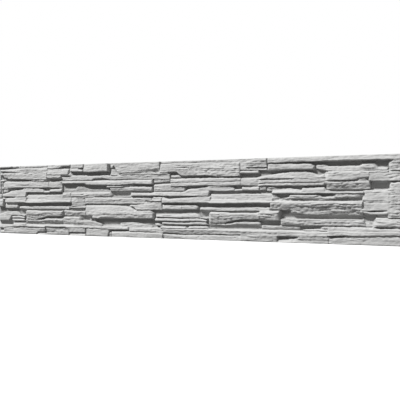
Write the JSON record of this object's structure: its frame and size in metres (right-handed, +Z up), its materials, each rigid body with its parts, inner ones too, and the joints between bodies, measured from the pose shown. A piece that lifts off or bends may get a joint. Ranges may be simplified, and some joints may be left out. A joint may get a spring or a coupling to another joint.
{
  "type": "concrete fence panel with a stacked-stone face",
  "caption": "Cast concrete fence panel for slotted posts: front face moulded as stacked ledge stones, back, ends and long edges plain and flat.",
  "frame": {"origin": "middle of the panel's bottom edge, in length and in thickness", "axes": "+X along the panel to its right end seen from the stone face, +Y out of the plain back, +Z up as it stands in the fence"},
  "size_m": [1.83, 0.05, 0.305],
  "materials": {
    "concrete": "matte cast concrete"
  },
  "bodies": {
    "root": {"panel": "concrete"}
  },
  "joints": []
}
